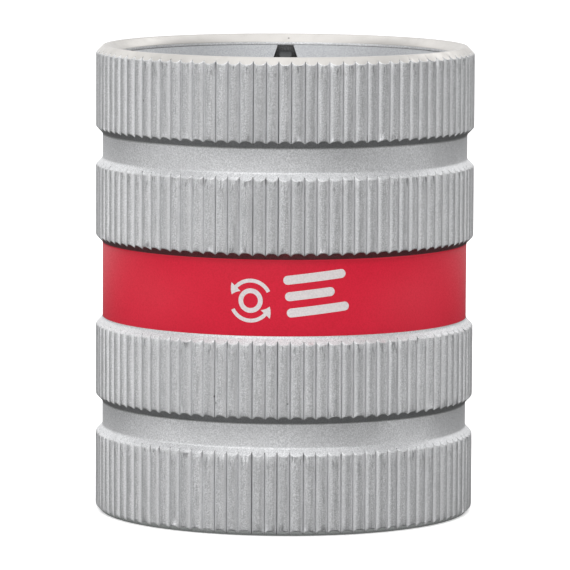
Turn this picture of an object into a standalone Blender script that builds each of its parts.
"""Two-ended deburring tool for round tubes of 10 to 54 mm.

A ribbed sleeve holds two inserts back to back. The upper one is a funnel whose three blades chamfer the
outside edge of a tube, and the lower one is a cone whose three blades chamfer its inside edge. Three cap
screws draw the inserts together on a rib inside the sleeve, and three drive pins stop them turning in it.

Metres, +Z up along the tool's axis, the origin at the centre of the plane of the lower rim. The frame's
front is -Y: a crest of the ribs faces it, and a blade of the cone stands behind it.
"""

import math

import bmesh
import bpy
from mathutils import Matrix

MM = 0.001
FULL_TURN = 2 * math.pi
THIRDS = (0, 120, 240)

# Sleeve, outside
HEIGHT = 86.3 * MM
CREST_R = 35.0 * MM
FLUTES = 93
FLUTE_DEPTH = 0.65 * MM
CREST_SHARE = 0.42  # the flat crest's share of one flute's pitch
GROOVE_R = 33.74 * MM
GROOVE_CHAMFER = CREST_R - GROOVE_R
FOOT_CHAMFER = 0.95 * MM
RIM_CHAMFER = 1.38 * MM
OUTER_RING = 13.54 * MM
INNER_RING = 12.9 * MM
GROOVE = 4.68 * MM
BAND_FLOOR_R = 33.1 * MM

# Sleeve, inside
MOUTH_R = 32.7 * MM
UPPER_BORE_R = 31.3 * MM
LOWER_BORE_R = 30.8 * MM
LOWER_CHAMFER = 1.0 * MM
RIB_R = 26.0 * MM
RIB_LOW = 41.0 * MM
RIB_HIGH = 45.0 * MM

# Printed band
LABEL_THICKNESS = 0.32 * MM
LABEL_EDGE_GAP = 0.15 * MM

# Inserts
GAP = 0.3 * MM
CONE_SLOPE = 0.70  # radius gained for each unit along the axis: cones of 70 degrees
FUNNEL_TOP_R = 30.5 * MM
FUNNEL_TOP = 84.3 * MM
CENTRE_HOLE_R = 4.2 * MM
FUNNEL_LOW = RIB_LOW + 2.0 * MM
CONE_TIP = 4.0 * MM
CONE_TIP_R = 3.4 * MM
CONE_BASE_R = 27.6 * MM
FLANGE_R = LOWER_BORE_R - GAP

# Blades
BLADE_THICKNESS = 2.4 * MM
BLADE_STANDS_PROUD = 0.5 * MM
BLADE_BEVEL = 0.6 * MM
SLOT_WIDTH = BLADE_THICKNESS + 2 * GAP
FUNNEL_CUT_R = (4.9 * MM, 28.6 * MM)
CONE_CUT_R = (3.6 * MM, 26.6 * MM)
FUNNEL_HEEL = 47.3 * MM
FUNNEL_HEEL_R = 18.0 * MM
CONE_HEEL = 42.4 * MM
CONE_HEEL_R = 14.4 * MM
CONE_BLADE_BACK_R = 2.6 * MM

# Fasteners and pins
CLAMP_R = 19.0 * MM
SCREW_R = 2.5 * MM
SCREW_HEAD_R = 4.25 * MM
SCREW_HEAD = 5.0 * MM
SCREW_KEY_R = 2.3 * MM
SCREW_TOP = 56.0 * MM
COUNTERBORE_R = 4.7 * MM
COUNTERBORE_TOP = 39.0 * MM
WASHER_THICKNESS = 1.2 * MM
DRIVE_PIN_R = 1.2 * MM
DRIVE_PIN_CIRCLE = 28.4 * MM
DRIVE_PIN = (39.5 * MM, 49.0 * MM)
FUNNEL_PIN_AT = (21.5 * MM, 62.0 * MM)
FUNNEL_PIN_R = 1.5 * MM
FUNNEL_PIN_HALF = 12.0 * MM
CONE_PIN_AT = (22.5 * MM, 40.65 * MM)
CONE_PIN_R = 1.0 * MM
CONE_PIN_HALF = 9.0 * MM

# Where things stand round the axis, in degrees from +X
FUNNEL_BLADES_AT = 90
CONE_BLADES_AT = 30
CLAMP_SCREWS_AT = 60
DRIVE_PINS_AT = 0

INSERT_SIDES = 72
SMALL_SIDES = 20
PAST = 0.5 * MM  # how far a cutter runs past the face that it leaves through

# Cross lines of both cones: a unit step down the slope, and the unit normal into the metal of the funnel
SLOPE_LENGTH = math.hypot(CONE_SLOPE, 1.0)
ACROSS = 1.0 / SLOPE_LENGTH
ALONG = CONE_SLOPE / SLOPE_LENGTH


def clear_scene():
    for obj in list(bpy.data.objects):
        bpy.data.objects.remove(obj)


def material(name, colour, roughness, metallic):
    made = bpy.data.materials.new(name)
    made.use_nodes = True
    shader = made.node_tree.nodes["Principled BSDF"]
    shader.inputs["Base Color"].default_value = (*colour, 1.0)
    shader.inputs["Roughness"].default_value = roughness
    shader.inputs["Metallic"].default_value = metallic
    return made


def link(name, mesh, finish=None, smooth_under=35):
    """A new object of this mesh. Faces that meet at under that many degrees are shaded as one."""
    obj = bpy.data.objects.new(name, mesh)
    bpy.context.scene.collection.objects.link(obj)
    if finish:
        mesh.materials.clear()
        mesh.materials.append(finish)
    mesh.shade_smooth()
    mesh.set_sharp_from_angle(angle=math.radians(smooth_under))
    return obj


def mesh_from(shape, name):
    bmesh.ops.recalc_face_normals(shape, faces=shape.faces)
    mesh = bpy.data.meshes.new(name)
    shape.to_mesh(mesh)
    shape.free()
    return mesh


def lathe(name, profile, sides):
    """A mesh turned from a closed (radius, height) outline. Points at radius 0 become poles."""
    shape = bmesh.new()
    rings = []
    for radius, height in profile:
        count = 1 if radius == 0 else sides
        turns = [FULL_TURN * i / sides for i in range(count)]
        rings.append([shape.verts.new((radius * math.cos(t), radius * math.sin(t), height)) for t in turns])
    for low, high in zip(rings, rings[1:] + rings[:1]):
        if len(low) == 1 and len(high) == 1:
            continue
        for i in range(sides):
            j = (i + 1) % sides
            corners = [low[i % len(low)], low[j % len(low)], high[j % len(high)], high[i % len(high)]]
            shape.faces.new(list(dict.fromkeys(corners)))
    return mesh_from(shape, name)


def plate(name, outline, thickness, bevelled=0, bevel=0.0):
    """A plate in the plane through the axis and +X, from its (radius, height) outline.

    The first `bevelled` edges of the outline lose both of their corners, by `bevel`."""
    shape = bmesh.new()
    half = thickness / 2
    near = [shape.verts.new((r, -half, z)) for r, z in outline]
    face = shape.faces.new(near)
    grown = bmesh.ops.extrude_face_region(shape, geom=[face])
    far = [v for v in grown["geom"] if isinstance(v, bmesh.types.BMVert)]
    bmesh.ops.translate(shape, verts=far, vec=(0, thickness, 0))
    shape.verts.ensure_lookup_table()
    if bevelled:
        ends = [(r, z) for r, z in outline[: bevelled + 1]]
        long_edges = [e for e in shape.edges if runs_along(e, ends)]
        bmesh.ops.bevel(shape, geom=long_edges, offset=bevel, segments=1, affect="EDGES")
    return mesh_from(shape, name)


def runs_along(edge, ends):
    """Whether an edge joins two neighbours in this list of (radius, height) points, on one face."""
    found = []
    for vert in edge.verts:
        near = [i for i, (r, z) in enumerate(ends) if math.hypot(vert.co.x - r, vert.co.z - z) < 1e-7]
        found += near
    return len(found) == 2 and abs(found[0] - found[1]) == 1


def rod(name, radius, low, high, sides=SMALL_SIDES):
    return lathe(name, [(0, low), (radius, low), (radius, high), (0, high)], sides)


def turned(degrees, radius=0.0):
    """A matrix that turns about the axis, after moving out along +X."""
    return Matrix.Rotation(math.radians(degrees), 4, "Z") @ Matrix.Translation((radius, 0, 0))


def chordal(at, degrees):
    """A matrix that lays a rod along the tangent, at (radius, height), and turns it about the axis."""
    radius, height = at
    lay = Matrix.Translation((radius, 0, height)) @ Matrix.Rotation(math.radians(-90), 4, "X")
    return turned(degrees) @ lay


def helper(name, mesh, matrix):
    """A cutter: it shapes its target and is no part of the tool."""
    obj = bpy.data.objects.new(name, mesh)
    bpy.context.scene.collection.objects.link(obj)
    obj.matrix_world = matrix
    obj.hide_render = True
    obj.display_type = "WIRE"
    return obj


def cut(target, cutters):
    for cutter in cutters:
        modifier = target.modifiers.new("cut " + cutter.name, "BOOLEAN")
        modifier.operation = "DIFFERENCE"
        modifier.solver = "EXACT"
        modifier.object = cutter


def three(name, mesh, finish, start, radius=0.0, place=None):
    """Three objects that share a mesh, evenly round the axis from `start` degrees."""
    for number, third in enumerate(THIRDS, 1):
        obj = link(f"{name}_{number}", mesh, finish)
        obj.matrix_world = chordal(place, start + third) if place else turned(start + third, radius)


def three_cutters(name, mesh, start, radius=0.0, place=None):
    matrices = [chordal(place, start + t) if place else turned(start + t, radius) for t in THIRDS]
    return [helper(f"cut_{name}_{i}", mesh, matrix) for i, matrix in enumerate(matrices, 1)]


def baked(name, mesh, cutter_mesh, matrix):
    """The mesh with one cutter taken out of it, as a mesh that several objects can share."""
    target = helper("blank_" + name, mesh, Matrix.Identity(4))
    cutter = helper("hole_" + name, cutter_mesh, matrix)
    cut(target, [cutter])
    bpy.context.view_layer.update()
    graph = bpy.context.evaluated_depsgraph_get()
    made = bpy.data.meshes.new_from_object(target.evaluated_get(graph))
    made.name = name
    for obj in (target, cutter):
        bpy.data.objects.remove(obj)
    return made


# Sleeve


def ring_edges():
    """(height, towards) of each fluted ring's two edges, bottom to top.

    towards is the side its chamfer is on."""
    low = FOOT_CHAMFER
    edges = []
    for length, gap in ((OUTER_RING, GROOVE), (INNER_RING, None), (INNER_RING, GROOVE), (OUTER_RING, 0.0)):
        edges += [(low, -1), (low + length, +1)]
        between = band_height() if gap is None else gap
        low += length + between + 2 * GROOVE_CHAMFER
    return edges


def band_height():
    """What is left between the two middle rings' chamfers."""
    rings = 2 * (OUTER_RING + INNER_RING)
    return HEIGHT - FOOT_CHAMFER - RIM_CHAMFER - rings - 2 * GROOVE - 6 * GROOVE_CHAMFER


def band_span():
    low = FOOT_CHAMFER + OUTER_RING + GROOVE + INNER_RING + 3 * GROOVE_CHAMFER
    return low, low + band_height()


def round_loop(shape, radius, height):
    """One point for each flute, at its valley."""
    pitch = FULL_TURN / FLUTES
    start = -math.pi / 2 - pitch / 2
    turns = [start + pitch * i for i in range(FLUTES)]
    return [[shape.verts.new((radius * math.cos(t), radius * math.sin(t), height))] for t in turns]


def fluted_loop(shape, height, towards):
    """Three points for each flute: its valley and the two edges of its crest.

    A valley cuts into the chamfer on the side `towards`, so there it lies further that way."""
    pitch = FULL_TURN / FLUTES
    start = -math.pi / 2 - pitch / 2
    crest = CREST_SHARE * pitch / 2
    loop = []
    for i in range(FLUTES):
        valley = start + pitch * i
        points = [(valley, CREST_R - FLUTE_DEPTH, height + towards * FLUTE_DEPTH)]
        points += [(valley + pitch / 2 + side * crest, CREST_R, height) for side in (-1, +1)]
        loop.append([shape.verts.new((r * math.cos(t), r * math.sin(t), z)) for t, r, z in points])
    return loop


def bridge_flutes(shape, first, second):
    """Faces between two loops, one flute at a time."""
    for i in range(FLUTES):
        j = (i + 1) % FLUTES
        one, other = first[i] + first[j][:1], second[i] + second[j][:1]
        if len(one) == len(other):
            for k in range(len(one) - 1):
                shape.faces.new([one[k], one[k + 1], other[k + 1], other[k]])
        else:
            shape.faces.new(one + other[::-1])


def outer_loops(shape):
    """The loops up the outside, from the lower rim to the upper one."""
    band_low, band_high = band_span()
    edges = ring_edges()
    loops = [round_loop(shape, CREST_R - FOOT_CHAMFER, 0)]
    for number, (height, towards) in enumerate(edges):
        last = number == len(edges) - 1
        if towards < 0 and number:
            loops.append(round_loop(shape, GROOVE_R, height - GROOVE_CHAMFER))
        loops.append(fluted_loop(shape, height, towards))
        if towards > 0 and not last:
            loops.append(round_loop(shape, GROOVE_R, height + GROOVE_CHAMFER))
            if height < HEIGHT / 2 < edges[number + 1][0]:
                step = LABEL_EDGE_GAP / 2
                loops.append(round_loop(shape, BAND_FLOOR_R, band_low + step))
                loops.append(round_loop(shape, BAND_FLOOR_R, band_high - step))
    loops.append(round_loop(shape, CREST_R - RIM_CHAMFER, HEIGHT))
    return loops


def inner_loops(shape):
    """The loops down the inside, from the mouth to the lower rim."""
    profile = [
        (MOUTH_R, HEIGHT),
        (UPPER_BORE_R, HEIGHT - (MOUTH_R - UPPER_BORE_R)),
        (UPPER_BORE_R, RIB_HIGH),
        (RIB_R, RIB_HIGH),
        (RIB_R, RIB_LOW),
        (LOWER_BORE_R, RIB_LOW),
        (LOWER_BORE_R, LOWER_CHAMFER),
        (LOWER_BORE_R + LOWER_CHAMFER, 0),
    ]
    return [round_loop(shape, radius, height) for radius, height in profile]


def add_sleeve(aluminium):
    shape = bmesh.new()
    loops = outer_loops(shape) + inner_loops(shape)
    for first, second in zip(loops, loops[1:] + loops[:1]):
        bridge_flutes(shape, first, second)
    sleeve = link("grip_sleeve", mesh_from(shape, "grip_sleeve"), aluminium, smooth_under=12)
    hole = rod("drive_pin_hole", DRIVE_PIN_R + GAP, RIB_LOW - PAST, RIB_HIGH + PAST)
    cut(sleeve, three_cutters("rib_hole", hole, DRIVE_PINS_AT, DRIVE_PIN_CIRCLE))


def add_label(print_red):
    """The printed band, wrapped round the sleeve's middle groove."""
    low, high = band_span()
    low += LABEL_EDGE_GAP
    high -= LABEL_EDGE_GAP
    inner = BAND_FLOOR_R + GAP
    outer = inner + LABEL_THICKNESS
    profile = [(inner, low), (outer, low), (outer, high), (inner, high)]
    link("label_band", lathe("label_band", profile, FLUTES), print_red)


# Funnel end


def funnel_height(radius):
    """The height at which the funnel has this radius."""
    return FUNNEL_TOP - (FUNNEL_TOP_R - radius) / CONE_SLOPE


def beside_funnel(radius, into_metal):
    """A (radius, height) point this far from the funnel's surface, where the funnel has `radius`."""
    return radius + into_metal * ACROSS, funnel_height(radius) - into_metal * ALONG


def add_funnel(aluminium):
    outer = UPPER_BORE_R - GAP
    spigot = RIB_R - GAP
    profile = [
        (CENTRE_HOLE_R, FUNNEL_LOW),
        (spigot, FUNNEL_LOW),
        (spigot, RIB_HIGH + GAP),
        (outer, RIB_HIGH + GAP),
        (outer, FUNNEL_TOP),
        (FUNNEL_TOP_R, FUNNEL_TOP),
        (CENTRE_HOLE_R, funnel_height(CENTRE_HOLE_R)),
    ]
    funnel = link("funnel_insert", lathe("funnel_insert", profile, INSERT_SIDES), aluminium)
    slot = plate("funnel_slot", funnel_slot_outline(), SLOT_WIDTH)
    tapped = rod("tapped_hole", SCREW_R + GAP, FUNNEL_LOW - PAST, SCREW_TOP + 1 * MM)
    drilled = rod("funnel_pin_hole", FUNNEL_PIN_R + GAP, -FUNNEL_PIN_HALF - GAP, outer)
    socket = rod("drive_pin_socket", DRIVE_PIN_R + GAP, RIB_HIGH - PAST, DRIVE_PIN[1] + GAP)
    cut(funnel, three_cutters("funnel_slot", slot, FUNNEL_BLADES_AT))
    cut(funnel, three_cutters("gullet", gullet(), FUNNEL_BLADES_AT))
    cut(funnel, three_cutters("tapped_hole", tapped, CLAMP_SCREWS_AT, CLAMP_R))
    cut(funnel, three_cutters("funnel_pin_hole", drilled, FUNNEL_BLADES_AT, place=FUNNEL_PIN_AT))
    cut(funnel, three_cutters("drive_pin_socket", socket, DRIVE_PINS_AT, DRIVE_PIN_CIRCLE))


def funnel_blade_outline():
    """The cutting edge comes first. Above it the blade drops below the funnel's surface."""
    outer = UPPER_BORE_R - GAP - 0.1 * MM
    back_rise = (outer - FUNNEL_HEEL_R) / CONE_SLOPE
    return [
        beside_funnel(FUNNEL_CUT_R[0], -BLADE_STANDS_PROUD),
        beside_funnel(FUNNEL_CUT_R[1], -BLADE_STANDS_PROUD),
        (outer, FUNNEL_TOP - 1.1 * MM),
        (outer, FUNNEL_HEEL + back_rise),
        (FUNNEL_HEEL_R, FUNNEL_HEEL),
        (FUNNEL_CUT_R[0] + 1.1 * MM, FUNNEL_HEEL),
    ]


def funnel_slot_outline():
    """Open at the top, to the funnel on one side and to the insert's outside on the other."""
    clear = 1.5 * MM
    outer = UPPER_BORE_R + PAST
    top = FUNNEL_TOP + PAST
    floor = FUNNEL_HEEL - GAP
    inner_r = CENTRE_HOLE_R - 1.2 * MM
    top_r = FUNNEL_TOP_R - (FUNNEL_TOP - top) * CONE_SLOPE - clear / ACROSS
    return [
        (inner_r, funnel_height(inner_r + clear / ACROSS)),
        (inner_r, floor),
        (FUNNEL_HEEL_R + GAP, floor),
        (outer, floor + (outer - FUNNEL_HEEL_R - GAP) / CONE_SLOPE),
        (outer, top),
        (top_r, top),
    ]


def gullet():
    """The flared pocket round a blade, where chips collect.

    Its outline lies on the funnel's slope: it opens from the width of the slot, then closes slowly."""
    depth, above = 3.5 * MM, 1.0 * MM
    outline = [(-0.8 * MM, 1.26 * MM), (8.9 * MM, 3.96 * MM), (40.0 * MM, 2.2 * MM)]
    shape = bmesh.new()
    layers = []
    for height in (-above, depth):
        corners = [(down, half) for down, half in outline] + [(down, -half) for down, half in outline[::-1]]
        layer = []
        for down, across in corners:
            radius = FUNNEL_TOP_R - down * ALONG
            r, z = beside_funnel(radius, height)
            layer.append(shape.verts.new((r, across, z)))
        layers.append(layer)
    shape.faces.new(layers[0])
    shape.faces.new(layers[1])
    for i in range(len(layers[0])):
        j = (i + 1) % len(layers[0])
        shape.faces.new([layers[0][i], layers[0][j], layers[1][j], layers[1][i]])
    return mesh_from(shape, "gullet")


def add_funnel_blades(tool_steel, bright_steel):
    blank = plate("funnel_blade", funnel_blade_outline(), BLADE_THICKNESS, bevelled=1, bevel=BLADE_BEVEL)
    hole = rod("funnel_blade_hole", FUNNEL_PIN_R + GAP, -BLADE_THICKNESS, BLADE_THICKNESS)
    blade = baked("funnel_blade", blank, hole, chordal(FUNNEL_PIN_AT, 0))
    three("funnel_blade", blade, tool_steel, FUNNEL_BLADES_AT)
    pin = rod("funnel_blade_pin", FUNNEL_PIN_R, -FUNNEL_PIN_HALF, FUNNEL_PIN_HALF)
    three("funnel_blade_pin", pin, bright_steel, FUNNEL_BLADES_AT, place=FUNNEL_PIN_AT)


# Cone end


def cone_height(radius):
    """The height at which the cone has this radius."""
    return CONE_TIP + (radius - CONE_TIP_R) / CONE_SLOPE


def beside_cone(radius, out_of_metal):
    """A (radius, height) point this far from the cone's surface, where the cone has `radius`."""
    return radius + out_of_metal * ACROSS, cone_height(radius) - out_of_metal * ALONG


def add_cone(aluminium):
    spigot = RIB_R - GAP
    top = FUNNEL_LOW - GAP
    profile = [
        (0, CONE_TIP),
        (CONE_TIP_R, CONE_TIP),
        (CONE_BASE_R, cone_height(CONE_BASE_R)),
        (FLANGE_R, cone_height(CONE_BASE_R)),
        (FLANGE_R, RIB_LOW - GAP),
        (spigot, RIB_LOW - GAP),
        (spigot, top),
        (0, top),
    ]
    cone = link("cone_insert", lathe("cone_insert", profile, INSERT_SIDES), aluminium)
    slot = plate("cone_slot", cone_slot_outline(), SLOT_WIDTH)
    counterbore = rod("counterbore", COUNTERBORE_R, CONE_TIP, COUNTERBORE_TOP)
    clearance = rod("clearance_hole", SCREW_R + GAP, CONE_TIP + PAST, top + PAST)
    drilled = rod("cone_pin_hole", CONE_PIN_R + GAP, -CONE_PIN_HALF - GAP, FLANGE_R)
    socket = rod("flange_socket", DRIVE_PIN_R + GAP, DRIVE_PIN[0] - GAP, RIB_LOW)
    cut(cone, three_cutters("cone_slot", slot, CONE_BLADES_AT))
    cut(cone, three_cutters("counterbore", counterbore, CLAMP_SCREWS_AT, CLAMP_R))
    cut(cone, three_cutters("clearance_hole", clearance, CLAMP_SCREWS_AT, CLAMP_R))
    cut(cone, three_cutters("cone_pin_hole", drilled, CONE_BLADES_AT, place=CONE_PIN_AT))
    cut(cone, three_cutters("flange_socket", socket, DRIVE_PINS_AT, DRIVE_PIN_CIRCLE))


def cone_blade_outline():
    """The cutting edge comes first. The heel rises through the flange and into the spigot."""
    tip_r, _ = beside_cone(CONE_CUT_R[0], BLADE_STANDS_PROUD)
    outer, shoulder = beside_cone(CONE_CUT_R[1], BLADE_STANDS_PROUD)
    back_rise = (CONE_HEEL_R - CONE_BLADE_BACK_R) / CONE_SLOPE
    heel_r = RIB_R - GAP - 0.5 * MM
    flange_top = RIB_LOW - 2 * GAP
    return [
        (tip_r, CONE_TIP + GAP),
        (outer, shoulder),
        (outer, flange_top),
        (heel_r, flange_top),
        (heel_r, CONE_HEEL),
        (CONE_HEEL_R, CONE_HEEL),
        (CONE_BLADE_BACK_R, CONE_HEEL - back_rise),
        (CONE_BLADE_BACK_R, CONE_TIP + GAP),
    ]


def cone_slot_outline():
    """Open along the cone's surface, at its tip and at the top, where the blade slides in."""
    clear = 1.5 * MM
    past_tip = CONE_TIP - PAST
    past_top = FUNNEL_LOW + PAST
    outer = CONE_CUT_R[1] + BLADE_STANDS_PROUD * ACROSS + GAP
    back_r = CONE_BLADE_BACK_R - GAP
    past_top_r = CONE_HEEL_R - 0.5 * MM + (past_top - CONE_HEEL) * CONE_SLOPE
    return [
        (back_r, past_tip),
        (CONE_TIP_R - PAST * CONE_SLOPE + clear / ACROSS, past_tip),
        (outer, cone_height(outer - clear / ACROSS)),
        (outer, past_top),
        (past_top_r, past_top),
        (back_r, past_top - (past_top_r - back_r) / CONE_SLOPE),
    ]


def add_cone_blades(tool_steel, bright_steel):
    blank = plate("cone_blade", cone_blade_outline(), BLADE_THICKNESS, bevelled=1, bevel=BLADE_BEVEL)
    hole = rod("cone_blade_hole", CONE_PIN_R + GAP, -BLADE_THICKNESS, BLADE_THICKNESS)
    blade = baked("cone_blade", blank, hole, chordal(CONE_PIN_AT, 0))
    three("cone_blade", blade, tool_steel, CONE_BLADES_AT)
    pin = rod("cone_blade_pin", CONE_PIN_R, -CONE_PIN_HALF, CONE_PIN_HALF)
    three("cone_blade_pin", pin, bright_steel, CONE_BLADES_AT, place=CONE_PIN_AT)


# Clamp screws, washers and drive pins


def add_fasteners(black_steel, bright_steel):
    washer_top = COUNTERBORE_TOP - GAP
    washer_low = washer_top - WASHER_THICKNESS
    head_top = washer_low - GAP
    head_low = head_top - SCREW_HEAD
    head_chamfer = 0.5 * MM
    profile = [
        (0, head_low),
        (SCREW_HEAD_R - head_chamfer, head_low),
        (SCREW_HEAD_R, head_low + head_chamfer),
        (SCREW_HEAD_R, head_top),
        (SCREW_R, head_top),
        (SCREW_R, SCREW_TOP - head_chamfer),
        (SCREW_R - head_chamfer, SCREW_TOP),
        (0, SCREW_TOP),
    ]
    blank = lathe("clamp_screw", profile, SMALL_SIDES)
    key = rod("key_socket", SCREW_KEY_R, head_low - PAST, head_low + 0.5 * SCREW_HEAD, sides=6)
    screw = baked("clamp_screw", blank, key, Matrix.Identity(4))
    three("clamp_screw", screw, black_steel, CLAMP_SCREWS_AT, CLAMP_R)
    bore = SCREW_R + GAP
    ring = [(bore, washer_low), (SCREW_HEAD_R, washer_low), (SCREW_HEAD_R, washer_top), (bore, washer_top)]
    three("clamp_washer", lathe("clamp_washer", ring, SMALL_SIDES), bright_steel, CLAMP_SCREWS_AT, CLAMP_R)
    pin = rod("drive_pin", DRIVE_PIN_R, *DRIVE_PIN)
    three("drive_pin", pin, bright_steel, DRIVE_PINS_AT, DRIVE_PIN_CIRCLE)


def main():
    clear_scene()
    sleeve_metal = material("blasted_aluminium", (0.60, 0.61, 0.62), 0.45, 1.0)
    insert_metal = material("cast_aluminium", (0.55, 0.57, 0.59), 0.50, 1.0)
    print_red = material("printed_red", (0.62, 0.025, 0.05), 0.40, 0.0)
    tool_steel = material("hardened_tool_steel", (0.075, 0.078, 0.08), 0.38, 0.9)
    black_steel = material("black_oxide_steel", (0.05, 0.05, 0.055), 0.42, 0.8)
    bright_steel = material("bright_steel", (0.62, 0.62, 0.62), 0.25, 1.0)
    add_sleeve(sleeve_metal)
    add_label(print_red)
    add_funnel(insert_metal)
    add_funnel_blades(tool_steel, bright_steel)
    add_cone(insert_metal)
    add_cone_blades(tool_steel, bright_steel)
    add_fasteners(black_steel, bright_steel)


main()
